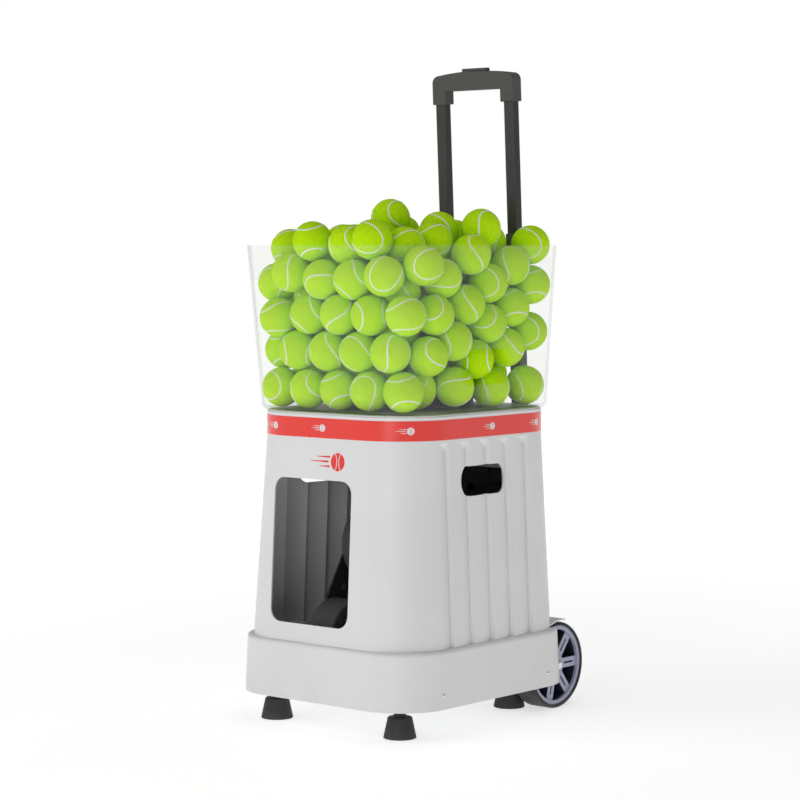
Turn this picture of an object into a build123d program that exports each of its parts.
"""Tennis ball machine: wheeled base, pleated body, clear ball hopper, throwing head and pull-out handle.

Millimetres, +Z up, ground at Z = 0, the throwing window looks towards -Y.
The origin is the centre of the footprint: the road wheels stand out behind the skirt, so the
body's own centre lies BODY_Y in front of it.
"""
import os
from math import atan2, cos, degrees, radians, sin

from build123d import *

os.makedirs("parts", exist_ok=True)

# Overall layout
BODY_Y = -24.2            # body centre, measured from the footprint centre
WALL = 3.0                # moulded wall of the casings
GAP = 0.3                 # running gap between pieces that move past each other
SHAFT_FIT = 0.05          # radial running fit of a shaft in its hole
THROUGH = 250.0           # cuts that go right through are at least this long

# Base skirt: half width, front, rear and corner radius at each level, about the body centre
SKIRT_BOTTOM, SKIRT_TOP = 49.5, 145.5
SKIRT_LOW = (205.0, -232.6, 232.6, 90.0)
SKIRT_HIGH = (204.0, -228.7, 228.7, 93.0)
SKIRT_SHOULDER = 6.5
SKIRT_LEDGE = 22.0        # width of the flange that carries the body

# Body shell
NECK_BOTTOM, NECK_TOP, LIP_TOP = 486.0, 518.7, 524.0
BODY_LOW = (196.7, -223.8, 221.2, 97.0)
BODY_HIGH = (181.5, -206.6, 213.9, 99.0)
BAND_RECESS, BAND_THICKNESS = 1.0, 1.4
SIDE_SLOPE = (BODY_LOW[0] - BODY_HIGH[0]) / (NECK_BOTTOM - SKIRT_TOP)
FRONT_SLOPE = (BODY_HIGH[1] - BODY_LOW[1]) / (NECK_BOTTOM - SKIRT_TOP)
REAR_SLOPE = (BODY_LOW[2] - BODY_HIGH[2]) / (NECK_BOTTOM - SKIRT_TOP)
PLEATS, PLEAT_PITCH, PLEAT_CENTRE = 5, 52.8, 1.6
PLEAT_DEPTH, PLEAT_RUN, PLEAT_RISER = 8.0, 36.0, 2.5
PLEAT_TOP, PLEAT_RUNOUT = 467.4, 15.0
WINDOW = (172.0, 241.0, 22.0)          # width, height, corner radius
WINDOW_X, WINDOW_Z = -19.5, 296.5
BODY_SLOT = (119.0, 49.5)              # hand slot in each side: length, height
BODY_SLOT_Y, BODY_SLOT_Z = -11.5, 414.6
PANEL_Z, PANEL, PANEL_OPENING = 380.0, (104.0, 82.0, 3.0), (92.0, 62.0)

# Hopper
HOPPER_BOTTOM, HOPPER_TOP = 526.5, 803.0
HOPPER_LOW = (178.2, -199.8, 188.1)
HOPPER_HIGH = (190.5, -221.9, 198.0)
HOPPER_FRONT_RADIUS, HOPPER_REAR_RADIUS = 60.0, 30.0
HOPPER_WALL, HOPPER_FLOOR, HOPPER_EDGE = 2.8, 3.5, 10.0
HOPPER_SLOT = (131.0, 58.5, 24.0)
HOPPER_SLOT_Z = 601.5
DECK_THICKNESS, DECK_SHAFT_HOLE = 5.0, 8.0

# Throwing head: centre of the nip, tilt of the ball path at rest, wheel sizes
HEAD_X, HEAD_Y, HEAD_Z, HEAD_TILT = -20.0, -90.0, 222.5, 30.0
THROW_RADIUS, THROW_WIDTH, THROW_OFFSET = 62.0, 54.0, 86.5
HUB_RADIUS = 46.0
PLATE_INNER, PLATE_THICKNESS = 38.0, 3.0
PLATE_OUTER = PLATE_INNER + PLATE_THICKNESS
ARM_INNER, ARM_THICKNESS = 42.0, 4.0
THROW_SHAFT_RADIUS, BEARING_RADIUS = 5.0, 11.0
THROW_MOTOR = (28.0, 72.0)             # radius, length
TURNTABLE_RADIUS, TURNTABLE_BOTTOM, TURNTABLE_THICKNESS = 112.0, 64.0, 6.0
ROLLER_RADIUS = 15.0

# Ball feed
CHUTE_Y = HEAD_Y + 171.0
CHUTE_OUTER, CHUTE_WALL = 40.0, 2.0
CHUTE_BEND_Z, CHUTE_BEND_RADIUS, CHUTE_BEND_ANGLE = HEAD_Z + 63.0, 90.0, 55.0
FEEDER_Y = 5.6
FEEDER_RADIUS, POCKET_RADIUS, POCKET_CIRCLE, POCKETS = 118.0, 36.0, 78.0, 6
FEEDER_BOTTOM, FEEDER_HEIGHT = HOPPER_BOTTOM + HOPPER_FLOOR + 0.8, 26.0
FEEDER_TOP = FEEDER_BOTTOM + FEEDER_HEIGHT
FEEDER_SHAFT_RADIUS, AGITATOR_RADIUS, AGITATOR_HEIGHT, AGITATOR_TAPER = 5.0, 34.0, 26.0, 32.0

# Chassis, feet and road wheels
CHASSIS_BOTTOM, CHASSIS_THICKNESS = 53.0, 3.0
CHASSIS_TOP = CHASSIS_BOTTOM + CHASSIS_THICKNESS
FEET = ((-137, -172), (137, -172), (-104, 162), (104, 162))
STUD_RADIUS, STUD_LOW, STUD_ABOVE, STUD_NUT = 5.0, 20.0, 10.0, (9.0, 7.0)
AXLE_Y, AXLE_Z, AXLE_RADIUS = 206.0, 75.0, 6.0
TYRE_RADIUS, RIM_RADIUS = 75.0, 69.0
WHEEL_INNER_X, WHEEL_OUTER_X = 131.0, 176.0
BAY_LENGTH = 160.0
SPOKES = 7
AXLE_CLEAR = 1.0          # round the axle where it passes through the casings
ARCH_RADIUS, ARCH_WALL = 79.0, 2.5
ARCH_X = (122.0, 184.0)
ARCH_BACK = 12.0          # how far the arch liners reach behind the axle

# Handle
HANDLE_Z, HANDLE_Y, HANDLE_LEAN = 803.0, 212.1, 3.0
RAIL_X, RAIL_WIDTH, RAIL_DEPTH = 76.2, 20.4, 17.6
TUBE_CLEAR, TUBE_WALL = GAP, 1.5
TUBE_LOW, TUBE_HIGH = -735.0, 4.0      # along the rails, from the height of the hopper's rim
COLLAR_TOP, COLLAR_HEIGHT = 21.0, 34.0
RAIL_LOW, RAIL_HIGH = -130.0, 285.0
GRIP_LEG_LOW, GRIP_BAR_LOW, GRIP_SIDE_TOP, GRIP_TOP = 250.0, 272.5, 298.5, 306.0
GRIP_HALF_WIDTH, GRIP_LEG_WIDTH, GRIP_DEPTH = 90.5, 28.5, 25.0
BUTTON = (55.0, 13.0, 5.0)             # length, width, height above the grip


def level(z, dx=0.0, dy=0.0):
    """Horizontal sketch plane at height z, centred on the body."""
    return Plane((dx, BODY_Y + dy, z))


def upright(x):
    """Sketch plane seen from the right: local x runs rearwards, local y upwards."""
    return Plane(origin=(x, BODY_Y, 0), x_dir=(0, 1, 0), z_dir=(1, 0, 0))


def head_plane(x):
    """Plane of the throwing head: local x runs back along the ball path, local y to the upper wheel."""
    tilt = radians(HEAD_TILT)
    origin = (HEAD_X + x, BODY_Y + HEAD_Y, HEAD_Z)
    return Plane(origin=origin, x_dir=(0, cos(tilt), -sin(tilt)), z_dir=(1, 0, 0))


def rail_plane(distance):
    """Sketch plane square to the leaning handle rails, at a distance along them from the rim's height."""
    lean = radians(HANDLE_LEAN)
    base = Plane(origin=(0, BODY_Y + HANDLE_Y, HANDLE_Z), x_dir=(1, 0, 0), z_dir=(0, -sin(lean), cos(lean)))
    return base.offset(distance)


def rear_face(z, stand_off=0.0):
    """Sketch plane on the sloping rear wall of the body at height z, facing outwards."""
    rear = BODY_LOW[2] - REAR_SLOPE * (z - SKIRT_TOP)
    return Plane(origin=(0, BODY_Y + rear, z), x_dir=(-1, 0, 0), z_dir=(0, 1, REAR_SLOPE)).offset(stand_off)


def casing_section(z, section, inset=0.0):
    """Rounded rectangle at height z from (half width, front, rear, corner radius)."""
    half_width, front, rear, radius = section
    with BuildSketch(level(z)) as outline:
        with Locations((0, (front + rear) / 2)):
            RectangleRounded(2 * (half_width - inset), rear - front - 2 * inset, radius - inset)
    return outline.sketch


def tub_section(z, section, inset=0.0):
    """Hopper outline: wide front corners and tight rear corners."""
    half_width, front, rear = section
    with BuildSketch(level(z)) as outline:
        with Locations((0, (front + rear) / 2)):
            Rectangle(2 * (half_width - inset), rear - front - 2 * inset)
        fillet(outline.vertices().group_by(Axis.Y)[0], HOPPER_FRONT_RADIUS - inset)
        fillet(outline.vertices().group_by(Axis.Y)[-1], HOPPER_REAR_RADIUS - inset)
    return outline.sketch


def finish(piece, name):
    """Label a finished piece and write its STEP file."""
    piece.part.label = name
    export_step(piece.part, f"parts/{name}.step")


def side_name(side):
    return "left" if side < 0 else "right"


# Body shell ------------------------------------------------------------------------------------

def pleat_cutter(shift):
    """Grooves of the right-hand side wall, one saw-tooth per pleat, moved inwards by shift."""
    overshoot = 6.0
    start_z = SKIRT_TOP - overshoot
    surface = BODY_LOW[0] + SIDE_SLOPE * (SKIRT_TOP - start_z) - shift
    rise = PLEAT_TOP + PLEAT_RUNOUT + 2 * overshoot - start_z
    with BuildPart() as cutter:
        with BuildSketch(level(start_z)):
            for index in range(PLEATS):
                y = PLEAT_CENTRE + (index - (PLEATS - 1) / 2) * PLEAT_PITCH
                with BuildLine():
                    outside = surface + overshoot
                    sweep_in = TangentArc((surface, y - PLEAT_RUN), (surface - PLEAT_DEPTH, y), tangent=(0, 1))
                    Polyline(sweep_in @ 1, (surface, y + PLEAT_RISER), (outside, y + PLEAT_RISER),
                             (outside, y - PLEAT_RUN), sweep_in @ 0)
                make_face()
        extrude(amount=rise, dir=(-SIDE_SLOPE, 0, 1))
        top_surface = BODY_LOW[0] - SIDE_SLOPE * (PLEAT_TOP - SKIRT_TOP) - shift
        ramp = PLEAT_RUNOUT / PLEAT_DEPTH
        with BuildSketch(Plane.XZ.offset(-BODY_Y)):
            with BuildLine():
                Polyline((top_surface - 2 * PLEAT_DEPTH, PLEAT_TOP - ramp * PLEAT_DEPTH),
                         (top_surface + PLEAT_DEPTH, PLEAT_TOP + 2 * ramp * PLEAT_DEPTH),
                         (top_surface + PLEAT_DEPTH, start_z + rise + PLEAT_RUNOUT),
                         (top_surface - 2 * PLEAT_DEPTH, start_z + rise + PLEAT_RUNOUT), close=True)
            make_face()
        extrude(amount=THROUGH, both=True, mode=Mode.SUBTRACT)
    return cutter.part


with BuildPart() as cavity:
    loft(sections=[casing_section(SKIRT_TOP, BODY_LOW, WALL), casing_section(NECK_BOTTOM, BODY_HIGH, WALL)])
    extrude(casing_section(NECK_BOTTOM, BODY_HIGH, WALL), amount=LIP_TOP - NECK_BOTTOM)
    inner_pleats = pleat_cutter(WALL)
    add(inner_pleats, mode=Mode.SUBTRACT)
    add(mirror(inner_pleats, about=Plane.YZ), mode=Mode.SUBTRACT)

with BuildPart() as body_shell:
    loft(sections=[casing_section(SKIRT_TOP, BODY_LOW), casing_section(NECK_BOTTOM, BODY_HIGH)])
    extrude(casing_section(NECK_BOTTOM, BODY_HIGH, BAND_RECESS), amount=NECK_TOP - NECK_BOTTOM)
    extrude(casing_section(NECK_TOP, BODY_HIGH), amount=LIP_TOP - NECK_TOP)
    outer_pleats = pleat_cutter(0)
    add(outer_pleats, mode=Mode.SUBTRACT)
    add(mirror(outer_pleats, about=Plane.YZ), mode=Mode.SUBTRACT)
    add(cavity.part, mode=Mode.SUBTRACT)
    with BuildSketch(Plane.XZ.offset(-BODY_Y)):
        with Locations((WINDOW_X, WINDOW_Z)):
            RectangleRounded(*WINDOW)
    extrude(amount=THROUGH, mode=Mode.SUBTRACT)
    with BuildSketch(upright(0)):
        with Locations((BODY_SLOT_Y, BODY_SLOT_Z)):
            SlotOverall(*BODY_SLOT)
    extrude(amount=THROUGH, both=True, mode=Mode.SUBTRACT)
    with BuildSketch(upright(0)):
        with Locations((AXLE_Y, AXLE_Z)):
            Circle(ARCH_RADIUS + ARCH_WALL)
    extrude(amount=ARCH_X[1], both=True, mode=Mode.SUBTRACT)
    with BuildSketch(rear_face(PANEL_Z)):
        Rectangle(*PANEL_OPENING)
    extrude(amount=3 * WALL, both=True, mode=Mode.SUBTRACT)
finish(body_shell, "body_shell")

with BuildPart() as red_band:
    extrude(casing_section(NECK_BOTTOM, BODY_HIGH, BAND_RECESS - BAND_THICKNESS),
            amount=NECK_TOP - NECK_BOTTOM)
    extrude(casing_section(NECK_BOTTOM, BODY_HIGH, BAND_RECESS), amount=NECK_TOP - NECK_BOTTOM,
            mode=Mode.SUBTRACT)
finish(red_band, "red_band")

# Base skirt and chassis --------------------------------------------------------------------------

def wheel_bay(z_low, z_high, margin=0.0):
    """Pair of blocks that open the rear corners for the road wheels, running back past the skirt."""
    front = AXLE_Y - ARCH_RADIUS - ARCH_WALL - margin
    with BuildPart() as bay:
        with BuildSketch(level(z_low)):
            for side in (-1, 1):
                with Locations((side * (ARCH_X[0] + ARCH_X[1]) / 2, front + BAY_LENGTH / 2)):
                    Rectangle(ARCH_X[1] - ARCH_X[0] + 2 * margin, BAY_LENGTH)
        extrude(amount=z_high - z_low)
    return bay.part


def side_screw_plane(side, tab_y):
    """Plane of a skirt screw, facing out of the left or right side."""
    return Plane(origin=(0, BODY_Y + tab_y, SKIRT_SCREW_Z), x_dir=(0, 1, 0), z_dir=(side, 0, 0))


TAB_Y, TAB_SIZE, TAB_HEIGHT = 141.0, (3.0, 18.0), 28.0
SKIRT_SCREW_Z, SCREW_RADIUS, SCREW_HEAD_RADIUS, SCREW_HEAD_HEIGHT = 72.5, 1.6, 3.6, 2.4
with BuildPart() as skirt_cavity:
    loft(sections=[casing_section(SKIRT_BOTTOM, SKIRT_LOW, WALL),
                   casing_section(SKIRT_TOP - SKIRT_SHOULDER, SKIRT_HIGH, WALL + 0.3)])
    extrude(casing_section(SKIRT_BOTTOM, BODY_LOW, SKIRT_LEDGE), amount=SKIRT_TOP)
    add(wheel_bay(0, 2 * SKIRT_TOP, ARCH_WALL), mode=Mode.SUBTRACT)

with BuildPart() as base_skirt:
    loft(sections=[casing_section(SKIRT_BOTTOM, SKIRT_LOW), casing_section(SKIRT_TOP, SKIRT_HIGH)])
    fillet(base_skirt.faces().sort_by(Axis.Z)[-1].edges(), SKIRT_SHOULDER)
    add(skirt_cavity.part, mode=Mode.SUBTRACT)
    add(wheel_bay(0, SKIRT_TOP + 5), mode=Mode.SUBTRACT)
    for side in (-1, 1):
        for tab_y in (-TAB_Y, TAB_Y):
            with BuildSketch(side_screw_plane(side, tab_y)):
                Circle(SCREW_RADIUS)
            extrude(amount=SKIRT_LOW[0], mode=Mode.SUBTRACT)
    with BuildSketch(upright(0)):
        with Locations((AXLE_Y, AXLE_Z)):
            Circle(AXLE_RADIUS + AXLE_CLEAR)
    extrude(amount=ARCH_X[0] + AXLE_CLEAR, both=True, mode=Mode.SUBTRACT)
finish(base_skirt, "base_skirt")

TURN_X, TURN_Y = HEAD_X, HEAD_Y
ROLLER_Y = TURN_Y + TURNTABLE_RADIUS + GAP + ROLLER_RADIUS
with BuildPart() as chassis_plate:
    extrude(casing_section(CHASSIS_BOTTOM, SKIRT_LOW, WALL + 6 * GAP), amount=CHASSIS_THICKNESS)
    add(wheel_bay(0, CHASSIS_TOP + 20, ARCH_WALL + 0.2), mode=Mode.SUBTRACT)
    for side in (-1, 1):
        for tab_y in (-TAB_Y, TAB_Y):
            with BuildSketch(level(CHASSIS_TOP, side * (SKIRT_LOW[0] - WALL - TAB_SIZE[0]), tab_y)):
                Rectangle(*TAB_SIZE)
            extrude(amount=TAB_HEIGHT)
            with BuildSketch(side_screw_plane(side, tab_y)):
                Circle(SCREW_RADIUS)
            extrude(amount=SKIRT_LOW[0], mode=Mode.SUBTRACT)
    with BuildSketch(level(CHASSIS_BOTTOM)):
        with Locations(*FEET):
            Circle(STUD_RADIUS + GAP)
    extrude(amount=CHASSIS_THICKNESS, mode=Mode.SUBTRACT)
finish(chassis_plate, "chassis_plate")

FOOT_LOW_RADIUS, FOOT_HIGH_RADIUS, FOOT_NECK_RADIUS, FOOT_HEIGHT = 27.5, 20.0, 10.0, 35.0
with BuildPart() as rubber_feet:
    for foot_x, foot_y in FEET:
        with BuildSketch(level(0, foot_x, foot_y)):
            Circle(FOOT_LOW_RADIUS)
        with BuildSketch(level(FOOT_HEIGHT, foot_x, foot_y)):
            Circle(FOOT_HIGH_RADIUS)
        loft()
    fillet(rubber_feet.edges().filter_by(GeomType.CIRCLE).group_by(Axis.Z)[-1], 3)
    fillet(rubber_feet.edges().filter_by(GeomType.CIRCLE).group_by(Axis.Z)[0], 1.5)
    with BuildSketch(level(FOOT_HEIGHT)):
        with Locations(*FEET):
            Circle(FOOT_NECK_RADIUS)
    extrude(amount=CHASSIS_BOTTOM - FOOT_HEIGHT)
    with BuildSketch(level(STUD_LOW)):
        with Locations(*FEET):
            Circle(STUD_RADIUS)
    extrude(amount=CHASSIS_TOP, mode=Mode.SUBTRACT)
finish(rubber_feet, "rubber_feet")

with BuildPart() as foot_studs:
    with BuildSketch(level(STUD_LOW)):
        with Locations(*FEET):
            Circle(STUD_RADIUS)
    extrude(amount=CHASSIS_TOP + STUD_ABOVE - STUD_LOW)
    with BuildSketch(level(CHASSIS_TOP)):
        with Locations(*FEET):
            RegularPolygon(STUD_NUT[0], 6)
    extrude(amount=STUD_NUT[1])
finish(foot_studs, "foot_studs")

with BuildPart() as skirt_screws:
    for side in (-1, 1):
        for tab_y in (-TAB_Y, TAB_Y):
            screw_face = side_screw_plane(side, tab_y)
            with BuildSketch(screw_face.offset(SKIRT_LOW[0] - WALL - 8)):
                Circle(SCREW_RADIUS)
            extrude(amount=WALL + 8)
            with BuildSketch(screw_face.offset(SKIRT_LOW[0] - SHAFT_FIT * 3)):
                Circle(SCREW_HEAD_RADIUS)
            extrude(amount=SCREW_HEAD_HEIGHT, taper=35)
finish(skirt_screws, "skirt_screws")

# Road wheels -------------------------------------------------------------------------------------

with BuildPart() as axle:
    with BuildSketch(upright(-WHEEL_OUTER_X)):
        with Locations((AXLE_Y, AXLE_Z)):
            Circle(AXLE_RADIUS)
    extrude(amount=2 * WHEEL_OUTER_X)
finish(axle, "axle")

BRACKET_X, BRACKET_THICKNESS, BRACKET_RADIUS = 104.0, 6.0, 14.0
with BuildPart() as axle_brackets:
    for side in (-1, 1):
        with BuildSketch(upright(side * BRACKET_X - BRACKET_THICKNESS / 2)):
            with Locations((AXLE_Y, AXLE_Z)):
                Circle(BRACKET_RADIUS)
            with Locations((AXLE_Y, (AXLE_Z + CHASSIS_TOP) / 2)):
                Rectangle(2 * BRACKET_RADIUS, AXLE_Z - CHASSIS_TOP)
            with Locations((AXLE_Y, AXLE_Z)):
                Circle(AXLE_RADIUS, mode=Mode.SUBTRACT)
        extrude(amount=BRACKET_THICKNESS)
finish(axle_brackets, "axle_brackets")


def wheel_plane(side, distance):
    """Plane of a road wheel, facing outwards, at a distance from the middle of the machine."""
    return Plane(origin=(side * distance, BODY_Y + AXLE_Y, AXLE_Z), x_dir=(0, 1, 0), z_dir=(side, 0, 0))


RIM_WALL, WHEEL_HUB, SPOKE_WIDTH = 7.0, 19.0, 17.0
SPOKE_GROOVE, GROOVE_DEPTH = (26.0, 3.6), 3.0
WEB_LOW, WEB_HIGH, BACK_THICKNESS = 20.0, 38.0, 4.0    # across the wheel's width, from its inner side
NUT_RECESS, NUT_RADIUS, NUT_HEIGHT = (10.0, 3.0), 8.5, 7.7
RIM_INSIDE = RIM_RADIUS - RIM_WALL
SPOKE_MIDDLE = (WHEEL_HUB + RIM_INSIDE) / 2
for side in (-1, 1):
    face = wheel_plane(side, WHEEL_INNER_X)
    width = WHEEL_OUTER_X - WHEEL_INNER_X
    with BuildPart() as rim:
        with BuildSketch(face):
            Circle(RIM_RADIUS)
            Circle(RIM_INSIDE, mode=Mode.SUBTRACT)
        extrude(amount=width - 3)
        with BuildSketch(face):
            Circle(WHEEL_HUB)
        extrude(amount=width - 2)
        with BuildSketch(face.offset(WEB_LOW)):
            with PolarLocations(SPOKE_MIDDLE, SPOKES):
                Rectangle(RIM_INSIDE - WHEEL_HUB + 4, SPOKE_WIDTH)
        extrude(amount=WEB_HIGH - WEB_LOW)
        with BuildSketch(face.offset(WEB_HIGH - GROOVE_DEPTH)):
            with PolarLocations(SPOKE_MIDDLE, SPOKES):
                SlotOverall(*SPOKE_GROOVE)
        extrude(amount=2 * GROOVE_DEPTH, mode=Mode.SUBTRACT)
        with BuildSketch(face):
            Circle(RIM_INSIDE + 1)
            Circle(WHEEL_HUB - 1, mode=Mode.SUBTRACT)
        extrude(amount=BACK_THICKNESS)
        with BuildSketch(face.offset(width - 2)):
            Circle(NUT_RECESS[0])
        extrude(amount=-NUT_RECESS[1], mode=Mode.SUBTRACT)
        with BuildSketch(face.offset(-1)):
            Circle(AXLE_RADIUS + SHAFT_FIT)
        extrude(amount=2 * width, mode=Mode.SUBTRACT)
    finish(rim, f"road_rim_{side_name(side)}")

    with BuildPart() as tyre:
        with BuildSketch(face):
            Circle(TYRE_RADIUS)
        extrude(amount=width)
        fillet(tyre.edges(), 4.5)
        with BuildSketch(face.offset(-1)):
            Circle(RIM_RADIUS)
        extrude(amount=2 * width, mode=Mode.SUBTRACT)
    finish(tyre, f"road_tyre_{side_name(side)}")

NUT_OVERLAP = 1.7
with BuildPart() as axle_nuts:
    for side in (-1, 1):
        with BuildSketch(wheel_plane(side, WHEEL_OUTER_X - NUT_OVERLAP)):
            Circle(NUT_RADIUS)
        extrude(amount=NUT_HEIGHT)
        fillet(axle_nuts.edges().group_by(Axis.X)[-1 if side > 0 else 0], NUT_RADIUS / 2)
        with BuildSketch(wheel_plane(side, WHEEL_OUTER_X - NUT_OVERLAP)):
            Circle(AXLE_RADIUS)
        extrude(amount=NUT_OVERLAP, mode=Mode.SUBTRACT)
finish(axle_nuts, "axle_nuts")

with BuildPart() as wheel_arches:
    with BuildSketch(upright(ARCH_X[0])):
        with Locations((AXLE_Y, AXLE_Z)):
            Circle(ARCH_RADIUS + ARCH_WALL)
    extrude(amount=ARCH_X[1] - ARCH_X[0])
    with BuildSketch(upright(ARCH_X[0] + ARCH_WALL)):
        with Locations((AXLE_Y, AXLE_Z)):
            Circle(ARCH_RADIUS)
    extrude(amount=ARCH_X[1] - ARCH_X[0], mode=Mode.SUBTRACT)
    with BuildSketch(upright(ARCH_X[0])):
        with Locations((AXLE_Y + ARCH_BACK + ARCH_RADIUS, AXLE_Z)):
            Rectangle(2 * ARCH_RADIUS, 3 * ARCH_RADIUS)
        with Locations((AXLE_Y, CHASSIS_TOP - ARCH_RADIUS)):
            Rectangle(3 * ARCH_RADIUS, 2 * ARCH_RADIUS)
        with Locations((AXLE_Y, AXLE_Z)):
            Circle(AXLE_RADIUS + AXLE_CLEAR)
    extrude(amount=ARCH_X[1], mode=Mode.SUBTRACT)
    mirror(about=Plane.YZ)
finish(wheel_arches, "wheel_arches")

# Top deck, hopper and ball feed ------------------------------------------------------------------

with BuildPart() as top_deck:
    extrude(casing_section(HOPPER_BOTTOM - DECK_THICKNESS, BODY_HIGH, WALL), amount=DECK_THICKNESS)
    with BuildSketch(level(HOPPER_BOTTOM, HEAD_X, CHUTE_Y)):
        Circle(CHUTE_OUTER)
    extrude(amount=-DECK_THICKNESS, mode=Mode.SUBTRACT)
    with BuildSketch(level(HOPPER_BOTTOM, 0, FEEDER_Y)):
        Circle(DECK_SHAFT_HOLE)
    extrude(amount=-DECK_THICKNESS, mode=Mode.SUBTRACT)
finish(top_deck, "top_deck")

with BuildPart() as tub_inside:
    loft(sections=[tub_section(HOPPER_BOTTOM + HOPPER_FLOOR, HOPPER_LOW, HOPPER_WALL),
                   tub_section(HOPPER_TOP + 0.01, HOPPER_HIGH, HOPPER_WALL)])
    fillet(tub_inside.faces().sort_by(Axis.Z)[0].edges(), HOPPER_EDGE - HOPPER_WALL)

with BuildPart() as hopper:
    loft(sections=[tub_section(HOPPER_BOTTOM, HOPPER_LOW), tub_section(HOPPER_TOP, HOPPER_HIGH)])
    fillet(hopper.faces().sort_by(Axis.Z)[0].edges(), HOPPER_EDGE)
    add(tub_inside.part, mode=Mode.SUBTRACT)
    with BuildSketch(upright(0)):
        with Locations((0, HOPPER_SLOT_Z)):
            RectangleRounded(*HOPPER_SLOT)
    extrude(amount=THROUGH, both=True, mode=Mode.SUBTRACT)
    with BuildSketch(level(HOPPER_BOTTOM, HEAD_X, CHUTE_Y)):
        Circle(CHUTE_OUTER - CHUTE_WALL)
    with BuildSketch(level(HOPPER_BOTTOM, 0, FEEDER_Y)):
        Circle(DECK_SHAFT_HOLE)
    extrude(amount=2 * HOPPER_FLOOR, both=True, mode=Mode.SUBTRACT)
finish(hopper, "hopper")

FIRST_POCKET = degrees(atan2(CHUTE_Y - FEEDER_Y, HEAD_X))    # one pocket stands over the chute at rest
with BuildPart() as feeder_disc:
    with BuildSketch(level(FEEDER_BOTTOM, 0, FEEDER_Y)):
        Circle(FEEDER_RADIUS)
        with PolarLocations(POCKET_CIRCLE, POCKETS, start_angle=FIRST_POCKET):
            Circle(POCKET_RADIUS, mode=Mode.SUBTRACT)
            Rectangle(FEEDER_RADIUS, 2 * POCKET_RADIUS, align=(Align.MIN, Align.CENTER), mode=Mode.SUBTRACT)
        Circle(FEEDER_SHAFT_RADIUS, mode=Mode.SUBTRACT)
    extrude(amount=FEEDER_HEIGHT)
    chamfer(feeder_disc.faces().sort_by(Axis.Z)[-1].edges(), 1.5)
finish(feeder_disc, "feeder_disc")

SHAFT_IN_CAP, SHAFT_IN_MOTOR = 10.0, 20.0
with BuildPart() as agitator_cap:
    with BuildSketch(level(FEEDER_TOP, 0, FEEDER_Y)):
        Circle(AGITATOR_RADIUS)
    extrude(amount=AGITATOR_HEIGHT, taper=AGITATOR_TAPER)
    fillet(agitator_cap.faces().sort_by(Axis.Z)[-1].edges(), 6)
    with BuildSketch(level(FEEDER_TOP, 0, FEEDER_Y)):
        Circle(FEEDER_SHAFT_RADIUS)
    extrude(amount=SHAFT_IN_CAP + 2, mode=Mode.SUBTRACT)
finish(agitator_cap, "agitator_cap")

GEARBOX_RADIUS, GEARBOX_HEIGHT, FEEDER_MOTOR_RADIUS, FEEDER_MOTOR_HEIGHT = 29.0, 34.0, 22.0, 48.0
GEARBOX_TOP = HOPPER_BOTTOM - DECK_THICKNESS
with BuildPart() as feeder_shaft:
    with BuildSketch(level(GEARBOX_TOP - SHAFT_IN_MOTOR, 0, FEEDER_Y)):
        Circle(FEEDER_SHAFT_RADIUS)
    extrude(amount=FEEDER_TOP + SHAFT_IN_CAP - GEARBOX_TOP + SHAFT_IN_MOTOR)
finish(feeder_shaft, "feeder_shaft")

with BuildPart() as feeder_gearmotor:
    with BuildSketch(level(GEARBOX_TOP, 0, FEEDER_Y)):
        Circle(GEARBOX_RADIUS)
    extrude(amount=-GEARBOX_HEIGHT)
    with BuildSketch(level(GEARBOX_TOP - GEARBOX_HEIGHT, 0, FEEDER_Y)):
        Circle(FEEDER_MOTOR_RADIUS)
    extrude(amount=-FEEDER_MOTOR_HEIGHT)
    fillet(feeder_gearmotor.faces().sort_by(Axis.Z)[0].edges(), 3)
    with BuildSketch(level(GEARBOX_TOP, 0, FEEDER_Y)):
        Circle(FEEDER_SHAFT_RADIUS + SHAFT_FIT)
    extrude(amount=-SHAFT_IN_MOTOR - 4, mode=Mode.SUBTRACT)
finish(feeder_gearmotor, "feeder_gearmotor")

with BuildPart() as ball_chute:
    with BuildLine(upright(HEAD_X)):
        drop = Line((CHUTE_Y, HOPPER_BOTTOM), (CHUTE_Y, CHUTE_BEND_Z))
        JernArc(drop @ 1, (0, -1), CHUTE_BEND_RADIUS, -CHUTE_BEND_ANGLE)
    with BuildSketch(level(HOPPER_BOTTOM, HEAD_X, CHUTE_Y)):
        Circle(CHUTE_OUTER)
        Circle(CHUTE_OUTER - CHUTE_WALL, mode=Mode.SUBTRACT)
    sweep()
finish(ball_chute, "ball_chute")

# Throwing head -----------------------------------------------------------------------------------

THRUST_BEARING = (60.0, 44.0)
with BuildPart() as turntable_bearing:
    with BuildSketch(level(CHASSIS_TOP, TURN_X, TURN_Y)):
        Circle(THRUST_BEARING[0])
        Circle(THRUST_BEARING[1], mode=Mode.SUBTRACT)
    extrude(amount=TURNTABLE_BOTTOM - CHASSIS_TOP - GAP)
finish(turntable_bearing, "turntable_bearing")

with BuildPart() as turntable:
    with BuildSketch(level(TURNTABLE_BOTTOM, TURN_X, TURN_Y)):
        Circle(TURNTABLE_RADIUS)
    extrude(amount=TURNTABLE_THICKNESS)
    fillet(turntable.edges(), 0.8)
finish(turntable, "turntable")

ROLLER_SHAFT_RADIUS = 3.0
with BuildPart() as pan_roller:
    with BuildSketch(level(TURNTABLE_BOTTOM - 1, TURN_X, ROLLER_Y)):
        Circle(ROLLER_RADIUS)
    extrude(amount=TURNTABLE_THICKNESS + 2)
    with BuildSketch(level(TURNTABLE_BOTTOM + TURNTABLE_THICKNESS, TURN_X, ROLLER_Y)):
        Circle(ROLLER_SHAFT_RADIUS)
    extrude(amount=14)
finish(pan_roller, "pan_roller")

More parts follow.
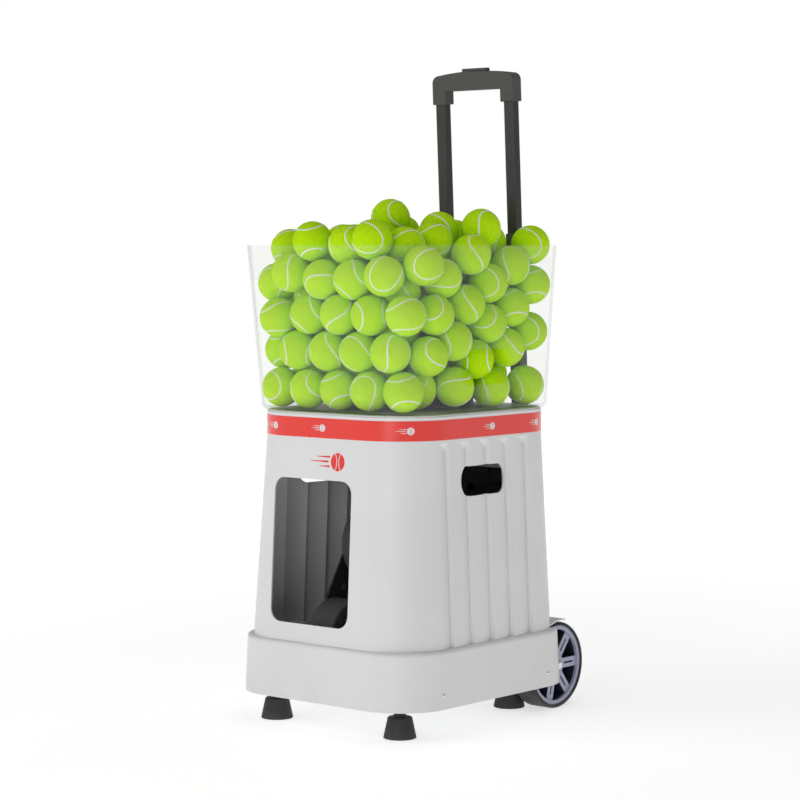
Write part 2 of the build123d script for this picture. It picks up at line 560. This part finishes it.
BRIDGE_Z = 74.0
BRIDGE, BRIDGE_THICKNESS = (56.0, 34.0), 3.0
with BuildPart() as pan_motor_bridge:
    with BuildSketch(level(BRIDGE_Z, TURN_X, ROLLER_Y)):
        Rectangle(*BRIDGE)
        Circle(ROLLER_SHAFT_RADIUS + SHAFT_FIT, mode=Mode.SUBTRACT)
    extrude(amount=BRIDGE_THICKNESS)
    with BuildSketch(level(CHASSIS_TOP, TURN_X, ROLLER_Y + 6)):
        with GridLocations(BRIDGE[0] - BRIDGE_THICKNESS, 0, 2, 1):
            Rectangle(BRIDGE_THICKNESS, 22)
    extrude(amount=BRIDGE_Z - CHASSIS_TOP)
finish(pan_motor_bridge, "pan_motor_bridge")

PAN_GEARBOX, PAN_MOTOR = (16.5, 12.0), (13.0, 38.0)    # radius and length
with BuildPart() as pan_gearmotor:
    with BuildSketch(level(BRIDGE_Z + BRIDGE_THICKNESS, TURN_X, ROLLER_Y)):
        Circle(PAN_GEARBOX[0])
        Circle(ROLLER_SHAFT_RADIUS + SHAFT_FIT, mode=Mode.SUBTRACT)
    extrude(amount=PAN_GEARBOX[1])
    with BuildSketch(level(BRIDGE_Z + BRIDGE_THICKNESS + PAN_GEARBOX[1], TURN_X, ROLLER_Y)):
        Circle(PAN_MOTOR[0])
    extrude(amount=PAN_MOTOR[1])
    fillet(pan_gearmotor.faces().sort_by(Axis.Z)[-1].edges(), 2)
finish(pan_gearmotor, "pan_gearmotor")

ARM_LEG = (45.0, 70.0)                 # span of the yoke's legs behind the tilt axis
ARM_HALF_HEIGHT = 13.0
TILT_PIN_RADIUS, TILT_GEARBOX, TILT_MOTOR = 5.0, (17.0, 22.0), (14.0, 36.0)
YOKE_BASE = TURNTABLE_BOTTOM + TURNTABLE_THICKNESS
with BuildPart() as yoke:
    for side in (-1, 1):
        with BuildSketch(upright(HEAD_X + (ARM_INNER if side > 0 else -ARM_INNER - ARM_THICKNESS))):
            with Locations((HEAD_Y, HEAD_Z)):
                Circle(ARM_HALF_HEIGHT)
            with Locations((HEAD_Y + ARM_LEG[1] / 2, HEAD_Z)):
                Rectangle(ARM_LEG[1], 2 * ARM_HALF_HEIGHT)
            with Locations((HEAD_Y + (ARM_LEG[0] + ARM_LEG[1]) / 2, (YOKE_BASE + HEAD_Z) / 2)):
                Rectangle(ARM_LEG[1] - ARM_LEG[0], HEAD_Z - YOKE_BASE)
            with Locations((HEAD_Y, HEAD_Z)):
                Circle(TILT_PIN_RADIUS, mode=Mode.SUBTRACT)
        extrude(amount=ARM_THICKNESS)
    with BuildSketch(level(YOKE_BASE, HEAD_X, HEAD_Y + (ARM_LEG[0] + ARM_LEG[1]) / 2)):
        Rectangle(2 * (ARM_INNER + ARM_THICKNESS), ARM_LEG[1] - ARM_LEG[0])
    extrude(amount=4)
finish(yoke, "yoke")

with BuildPart() as tilt_pins:
    for side in (-1, 1):
        with BuildSketch(upright(HEAD_X + side * PLATE_INNER)):
            with Locations((HEAD_Y, HEAD_Z)):
                Circle(TILT_PIN_RADIUS)
        extrude(amount=side * (ARM_INNER + ARM_THICKNESS - PLATE_INNER + 2))
finish(tilt_pins, "tilt_pins")

with BuildPart() as tilt_gearmotor:
    with BuildSketch(upright(HEAD_X + ARM_INNER + ARM_THICKNESS)):
        with Locations((HEAD_Y, HEAD_Z)):
            Circle(TILT_GEARBOX[0])
            Circle(TILT_PIN_RADIUS + SHAFT_FIT, mode=Mode.SUBTRACT)
    extrude(amount=TILT_GEARBOX[1])
    with BuildSketch(upright(HEAD_X + ARM_INNER + ARM_THICKNESS + TILT_GEARBOX[1])):
        with Locations((HEAD_Y, HEAD_Z)):
            Circle(TILT_MOTOR[0])
    extrude(amount=TILT_MOTOR[1])
    fillet(tilt_gearmotor.faces().sort_by(Axis.X)[-1].edges(), 2)
finish(tilt_gearmotor, "tilt_gearmotor")

EAR_LENGTH, EAR_HALF_HEIGHT = 80.0, 49.0
SPACER_AT, SPACER_RADIUS = ((72.0, -43.0), (72.0, 43.0)), 4.0
for side in (-1, 1):
    with BuildPart() as plate:
        with BuildSketch(head_plane(side * PLATE_INNER if side > 0 else -PLATE_OUTER)):
            SlotOverall(2 * THROW_OFFSET + 60, 58, rotation=90)
            with Locations((EAR_LENGTH / 2, 0)):
                RectangleRounded(EAR_LENGTH, 2 * EAR_HALF_HEIGHT, 6)
            with Locations((0, -THROW_OFFSET), (0, THROW_OFFSET)):
                Circle(BEARING_RADIUS, mode=Mode.SUBTRACT)
            Circle(TILT_PIN_RADIUS + SHAFT_FIT, mode=Mode.SUBTRACT)
        extrude(amount=PLATE_THICKNESS)
    finish(plate, f"head_plate_{side_name(side)}")

with BuildPart() as head_spacers:
    with BuildSketch(head_plane(-PLATE_INNER)):
        with Locations(*SPACER_AT):
            Circle(SPACER_RADIUS)
    extrude(amount=2 * PLATE_INNER)
finish(head_spacers, "head_spacers")

TROUGH_OUTER, TROUGH_WALL, TROUGH_SPAN = 38.0, 2.0, (66.0, 104.0)
with BuildPart() as ball_trough:
    path = head_plane(0)
    trough_origin = path.origin + path.x_dir * TROUGH_SPAN[0]
    trough_start = Plane(origin=trough_origin, x_dir=(1, 0, 0), z_dir=path.x_dir)
    with BuildSketch(trough_start):
        Circle(TROUGH_OUTER)
        Circle(TROUGH_OUTER - TROUGH_WALL, mode=Mode.SUBTRACT)
        with Locations((0, -TROUGH_OUTER)):
            Rectangle(3 * TROUGH_OUTER, 2 * TROUGH_OUTER, mode=Mode.SUBTRACT)
    extrude(amount=TROUGH_SPAN[1] - TROUGH_SPAN[0])
finish(ball_trough, "ball_trough")

HUB_RIM, HUB_WEB, HUB_BOSS, HUB_HOLE_CIRCLE, HUB_HOLE = 5.0, 8.0, 13.0, 27.0, 8.0
for wheel_name, offset in (("lower", -THROW_OFFSET), ("upper", THROW_OFFSET)):
    with BuildPart() as tread:
        with BuildSketch(head_plane(-THROW_WIDTH / 2)):
            with Locations((0, offset)):
                Circle(THROW_RADIUS)
        extrude(amount=THROW_WIDTH)
        fillet(tread.edges(), 3)
        with BuildSketch(head_plane(-THROW_WIDTH)):
            with Locations((0, offset)):
                Circle(HUB_RADIUS)
        extrude(amount=2 * THROW_WIDTH, mode=Mode.SUBTRACT)
    finish(tread, f"{wheel_name}_throwing_tread")

    with BuildPart() as hub:
        with BuildSketch(head_plane(-THROW_WIDTH / 2 + 2)):
            with Locations((0, offset)):
                Circle(HUB_RADIUS)
                Circle(HUB_RADIUS - HUB_RIM, mode=Mode.SUBTRACT)
        extrude(amount=THROW_WIDTH - 4)
        with BuildSketch(head_plane(-HUB_WEB / 2)):
            with Locations((0, offset)):
                Circle(HUB_RADIUS - HUB_RIM / 2)
            with Locations(Location((0, offset))):
                with PolarLocations(HUB_HOLE_CIRCLE, 6):
                    Circle(HUB_HOLE, mode=Mode.SUBTRACT)
        extrude(amount=HUB_WEB)
        with BuildSketch(head_plane(-THROW_WIDTH / 2)):
            with Locations((0, offset)):
                Circle(HUB_BOSS)
        extrude(amount=THROW_WIDTH)
        with BuildSketch(head_plane(-THROW_WIDTH)):
            with Locations((0, offset)):
                Circle(THROW_SHAFT_RADIUS)
        extrude(amount=2 * THROW_WIDTH, mode=Mode.SUBTRACT)
    finish(hub, f"{wheel_name}_throwing_hub")

    with BuildPart() as shaft:
        with BuildSketch(head_plane(-PLATE_OUTER)):
            with Locations((0, offset)):
                Circle(THROW_SHAFT_RADIUS)
        extrude(amount=2 * PLATE_OUTER + 12)
    finish(shaft, f"{wheel_name}_throwing_shaft")

    with BuildPart() as motor:
        with BuildSketch(head_plane(PLATE_OUTER)):
            with Locations((0, offset)):
                Circle(THROW_MOTOR[0])
        extrude(amount=THROW_MOTOR[1])
        fillet(motor.edges().group_by(Axis.X)[-1], 4)
        with BuildSketch(head_plane(PLATE_OUTER)):
            with Locations((0, offset)):
                Circle(THROW_SHAFT_RADIUS + SHAFT_FIT)
        extrude(amount=14, mode=Mode.SUBTRACT)
    finish(motor, f"{wheel_name}_throwing_motor")

with BuildPart() as shaft_bearings:
    for side in (-1, 1):
        with BuildSketch(head_plane(side * PLATE_INNER if side > 0 else -PLATE_OUTER)):
            with Locations((0, -THROW_OFFSET), (0, THROW_OFFSET)):
                Circle(BEARING_RADIUS)
                Circle(THROW_SHAFT_RADIUS + SHAFT_FIT, mode=Mode.SUBTRACT)
        extrude(amount=PLATE_THICKNESS)
finish(shaft_bearings, "shaft_bearings")

# Battery and electrics ---------------------------------------------------------------------------

BATTERY = (150.0, 88.0, 92.0)
BATTERY_Y = 139.0
with BuildPart() as battery:
    with BuildSketch(level(CHASSIS_TOP, 0, BATTERY_Y)):
        RectangleRounded(BATTERY[0], BATTERY[1], 3)
    extrude(amount=BATTERY[2])
    chamfer(battery.faces().sort_by(Axis.Z)[-1].edges(), 1.5)
finish(battery, "battery")

REAR_INSIDE = BODY_HIGH[2] - WALL
CONTROL_BOX, CONTROL_BOX_Z, CONTROL_BOX_WALL = (140.0, 30.0, 105.0), 205.0, 3.0
BOARD, BOARD_Z, BOARD_Y = (128.0, 1.6, 94.0), CONTROL_BOX_Z + 2, REAR_INSIDE - 8
with BuildPart() as control_box:
    with BuildSketch(level(CONTROL_BOX_Z, 0, REAR_INSIDE - 17)):
        RectangleRounded(CONTROL_BOX[0], CONTROL_BOX[1], 4)
    extrude(amount=CONTROL_BOX[2])
    with BuildSketch(level(BOARD_Z, 0, REAR_INSIDE - 17)):
        Rectangle(CONTROL_BOX[0] - 2 * CONTROL_BOX_WALL, CONTROL_BOX[1] - 2 * CONTROL_BOX_WALL)
    extrude(amount=CONTROL_BOX[2] - 4, mode=Mode.SUBTRACT)
finish(control_box, "control_box")

# Components on the board: where each stands (X, Z), then its width, depth and height.
CAPACITOR = ((-42, 240), (16, 10, 30))
RELAY = ((-10, 232), (20, 12, 20))
DRIVER_CHIP = ((34, 262), (34, 5, 24))
with BuildPart() as control_board:
    with BuildSketch(level(BOARD_Z, 0, BOARD_Y)):
        Rectangle(BOARD[0], BOARD[1])
    extrude(amount=BOARD[2])
    for (part_x, part_z), (part_width, part_depth, part_height) in (CAPACITOR, RELAY, DRIVER_CHIP):
        with BuildSketch(level(part_z, part_x, BOARD_Y - (BOARD[1] + part_depth) / 2)):
            Rectangle(part_width, part_depth)
        extrude(amount=part_height)
finish(control_board, "control_board")

SWITCH_X, SOCKET_X, GAUGE = -30.0, 30.0, (0.0, 24.0)
SWITCH_AT, SOCKET_AT = (SWITCH_X, -8.0), (SOCKET_X, -8.0)
ROCKER, ROCKER_HOLE, ROCKER_DISH, ROCKER_PIVOT = (21.0, 13.0), (23.0, 15.0), 21.5, 2.0


def rocker_plane(out):
    """Plane across the rocker switch, facing along its width, at a distance out from the casing."""
    return Plane(rear_face(PANEL_Z, out).location * Location((*SWITCH_AT, 0), (90, 0, 0)))


with BuildPart() as rear_panel:
    with BuildSketch(rear_face(PANEL_Z)):
        RectangleRounded(PANEL[0], PANEL[1], 8)
    extrude(amount=PANEL[2])
    chamfer(rear_panel.faces().sort_by(Axis.Y)[-1].edges(), 1)
    with BuildSketch(rear_face(PANEL_Z)):
        with Locations(SWITCH_AT):
            RectangleRounded(28, 20, 2)
        with Locations(SOCKET_AT):
            Circle(7)
        with Locations(GAUGE):
            RectangleRounded(34, 10, 2)
        with GridLocations(PANEL[0] - 12, PANEL[1] - 12, 2, 2):
            Circle(1.6)
    extrude(amount=PANEL[2], both=True, mode=Mode.SUBTRACT)
finish(rear_panel, "rear_panel")

with BuildPart() as panel_screws:
    with BuildSketch(rear_face(PANEL_Z)):
        with GridLocations(PANEL[0] - 12, PANEL[1] - 12, 2, 2):
            Circle(1.6)
    extrude(amount=PANEL[2])
    with BuildSketch(rear_face(PANEL_Z, PANEL[2])):
        with GridLocations(PANEL[0] - 12, PANEL[1] - 12, 2, 2):
            Circle(3)
    extrude(amount=1.6, taper=30)
finish(panel_screws, "panel_screws")

with BuildPart() as switch_housing:
    with BuildSketch(rear_face(PANEL_Z, -14)):
        with Locations(SWITCH_AT):
            RectangleRounded(28, 20, 2)
    extrude(amount=14 + PANEL[2] + 1.5)
    with BuildSketch(rear_face(PANEL_Z, -12)):
        with Locations(SWITCH_AT):
            Rectangle(*ROCKER_HOLE)
    extrude(amount=30, mode=Mode.SUBTRACT)
finish(switch_housing, "switch_housing")

with BuildPart() as power_rocker:
    with BuildSketch(rear_face(PANEL_Z, -6)):
        with Locations(SWITCH_AT):
            Rectangle(*ROCKER)
    extrude(amount=6 + PANEL[2] + 4.5)
    with BuildSketch(rocker_plane(PANEL[2] + ROCKER_DISH + 4.5)):
        Circle(ROCKER_DISH)
    extrude(amount=ROCKER[1], both=True, mode=Mode.SUBTRACT)
    with BuildSketch(rocker_plane(0)):
        Circle(ROCKER_PIVOT)
    extrude(amount=ROCKER[1] / 2 + 0.5, both=True)
finish(power_rocker, "power_rocker")

SOCKET_BORE = 2.9
with BuildPart() as charge_socket:
    with BuildSketch(rear_face(PANEL_Z, -12)):
        with Locations(SOCKET_AT):
            Circle(7)
    extrude(amount=12 + PANEL[2])
    with BuildSketch(rear_face(PANEL_Z, PANEL[2])):
        with Locations(SOCKET_AT):
            Circle(9)
    extrude(amount=2)
    with BuildSketch(rear_face(PANEL_Z, PANEL[2] + 2)):
        with Locations(SOCKET_AT):
            Circle(SOCKET_BORE)
    extrude(amount=-12, mode=Mode.SUBTRACT)
finish(charge_socket, "charge_socket")

with BuildPart() as battery_gauge:
    with BuildSketch(rear_face(PANEL_Z, -4)):
        with Locations(GAUGE):
            RectangleRounded(34, 10, 2)
    extrude(amount=4 + PANEL[2] + 0.8)
finish(battery_gauge, "battery_gauge")

# Handle ------------------------------------------------------------------------------------------

TUBE_OUTER = (RAIL_WIDTH + 2 * (TUBE_CLEAR + TUBE_WALL), RAIL_DEPTH + 2 * (TUBE_CLEAR + TUBE_WALL))
TUBE_INNER = (RAIL_WIDTH + 2 * TUBE_CLEAR, RAIL_DEPTH + 2 * TUBE_CLEAR)
for side in (-1, 1):
    with BuildPart() as tube:
        with BuildSketch(rail_plane(TUBE_LOW)):
            with Locations((side * RAIL_X, 0)):
                RectangleRounded(*TUBE_OUTER, 3)
                RectangleRounded(*TUBE_INNER, 1.8, mode=Mode.SUBTRACT)
        extrude(amount=TUBE_HIGH - TUBE_LOW)
    finish(tube, f"handle_tube_{side_name(side)}")

COLLAR_SIZE = (TUBE_OUTER[0] + 2.4, TUBE_OUTER[1] + 2.4)
RAIL_PAIR = ((-RAIL_X, 0), (RAIL_X, 0))
RAIL_AXIS = Axis((0, 0, 0), rail_plane(0).z_dir)
with BuildPart() as handle_collars:
    with BuildSketch(rail_plane(COLLAR_TOP)):
        with Locations(*RAIL_PAIR):
            RectangleRounded(*COLLAR_SIZE, 4)
    extrude(amount=-COLLAR_HEIGHT)
    fillet(handle_collars.edges().group_by(RAIL_AXIS)[-1], 1)
    with BuildSketch(rail_plane(COLLAR_TOP - COLLAR_HEIGHT)):
        with Locations(*RAIL_PAIR):
            RectangleRounded(*TUBE_OUTER, 3)
    extrude(amount=TUBE_HIGH - COLLAR_TOP + COLLAR_HEIGHT, mode=Mode.SUBTRACT)
    with BuildSketch(rail_plane(COLLAR_TOP - COLLAR_HEIGHT)):
        with Locations(*RAIL_PAIR):
            RectangleRounded(*TUBE_INNER, 1.8)
    extrude(amount=2 * COLLAR_HEIGHT, mode=Mode.SUBTRACT)
finish(handle_collars, "handle_collars")

with BuildPart() as handle_rails:
    with BuildSketch(rail_plane(RAIL_LOW)):
        with Locations(*RAIL_PAIR):
            RectangleRounded(RAIL_WIDTH, RAIL_DEPTH, 1.8)
            RectangleRounded(RAIL_WIDTH - 2.4, RAIL_DEPTH - 2.4, 1, mode=Mode.SUBTRACT)
    extrude(amount=RAIL_HIGH - RAIL_LOW)
finish(handle_rails, "handle_rails")

HANDLE_BRACKET_HEIGHT, UPPER_BRACKET_Z, LOWER_BRACKET_Z = 26.0, 455.0, 92.0
UPPER_BRACKET_Y = BODY_LOW[2] - REAR_SLOPE * (UPPER_BRACKET_Z - SKIRT_TOP)
LOWER_BRACKET_Y = SKIRT_LOW[2] - 1.6
for bracket_name, bracket_z, casing_rear in (("upper", UPPER_BRACKET_Z, UPPER_BRACKET_Y),
                                             ("lower", LOWER_BRACKET_Z, LOWER_BRACKET_Y)):
    lean_rear = HANDLE_Y + (HANDLE_Z - bracket_z) * sin(radians(HANDLE_LEAN)) + TUBE_OUTER[1] / 2 + 3
    with BuildPart() as bracket:
        with BuildSketch(level(bracket_z, 0, (casing_rear + lean_rear) / 2)):
            RectangleRounded(2 * RAIL_X + TUBE_OUTER[0] + 10, lean_rear - casing_rear, 3)
        extrude(amount=HANDLE_BRACKET_HEIGHT)
        with BuildSketch(rail_plane(TUBE_LOW)):
            with Locations(*RAIL_PAIR):
                RectangleRounded(*TUBE_OUTER, 3)
        extrude(amount=TUBE_HIGH - TUBE_LOW, mode=Mode.SUBTRACT)
    finish(bracket, f"handle_bracket_{bracket_name}")


def grip_outline():
    """Grip seen from the front, along the rails: arched bar with a leg on each rail."""
    outer = GRIP_HALF_WIDTH
    inner = outer - GRIP_LEG_WIDTH
    with BuildSketch(Plane(rail_plane(0).location * Location((0, 0, 0), (90, 0, 0)))) as outline:
        with BuildLine():
            arch = ThreePointArc((-outer, GRIP_SIDE_TOP), (0, GRIP_TOP), (outer, GRIP_SIDE_TOP))
            Polyline(arch @ 1, (outer, GRIP_LEG_LOW), (inner, GRIP_LEG_LOW), (inner, GRIP_BAR_LOW),
                     (-inner, GRIP_BAR_LOW), (-inner, GRIP_LEG_LOW), (-outer, GRIP_LEG_LOW), arch @ 0)
        make_face()
        shoulders = outline.vertices().sort_by(Axis.Y)[-2:]
        armpits = outline.vertices().sort_by(Axis.Y)[-4:-2]
        fillet(shoulders, 13)
        fillet(armpits, 8)
    return outline.sketch


with BuildPart() as grip:
    extrude(grip_outline(), amount=GRIP_DEPTH / 2, both=True)
    fillet(grip.edges().filter_by(Axis.X) + grip.edges().filter_by(GeomType.CIRCLE), 2.5)
    for side in (-1, 1):
        with BuildSketch(rail_plane(GRIP_LEG_LOW)):
            with Locations((side * RAIL_X, 0)):
                RectangleRounded(RAIL_WIDTH, RAIL_DEPTH, 1.8)
        extrude(amount=RAIL_HIGH - GRIP_LEG_LOW, mode=Mode.SUBTRACT)
    with BuildSketch(rail_plane(GRIP_TOP - 12)):
        RectangleRounded(BUTTON[0] + 2 * GAP, BUTTON[1] + 2 * GAP, 3)
    extrude(amount=GRIP_DEPTH, mode=Mode.SUBTRACT)
finish(grip, "grip")

with BuildPart() as release_button:
    with BuildSketch(rail_plane(GRIP_TOP - 7)):
        RectangleRounded(BUTTON[0], BUTTON[1], 3)
    extrude(amount=7 + BUTTON[2])
    fillet(release_button.faces().sort_by(Axis.Z)[-1].edges(), 1.5)
finish(release_button, "release_button")
